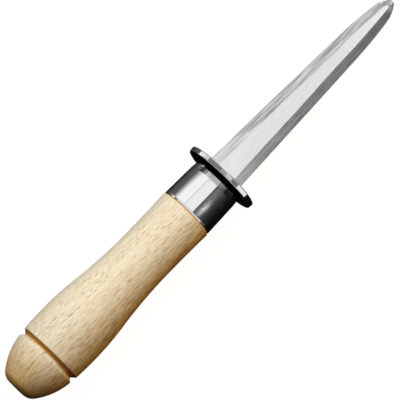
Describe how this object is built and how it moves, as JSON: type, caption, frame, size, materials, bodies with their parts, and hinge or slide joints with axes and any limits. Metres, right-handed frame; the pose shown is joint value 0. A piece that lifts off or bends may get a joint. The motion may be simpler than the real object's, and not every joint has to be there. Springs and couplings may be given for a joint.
{
  "type": "oyster knife",
  "caption": "Oyster knife: stiff double-bevelled steel blade, round disc guard, drawn ferrule and waisted beech handle with a bulb, a turned groove and a domed butt.",
  "frame": {"origin": "on the turning axis, at the front face of the guard, where the blade begins", "axes": "+X along the turning axis towards the point of the blade, +Z square to the flat of the blade, +Y across the blade"},
  "size_m": [0.1961, 0.03, 0.03],
  "materials": {
    "blade_steel": "satin flat, bevels with lengthwise grinding marks",
    "guard_steel": "polished",
    "ferrule_metal": "polished, lightly scratched",
    "beech": "fine sanded, oiled, with short dark flecks along the grain",
    "resin": "cast"
  },
  "bodies": {
    "root": {"blade": "blade_steel", "guard": "guard_steel", "ferrule": "ferrule_metal", "handle": "beech", "tang_resin": "resin"}
  },
  "joints": []
}
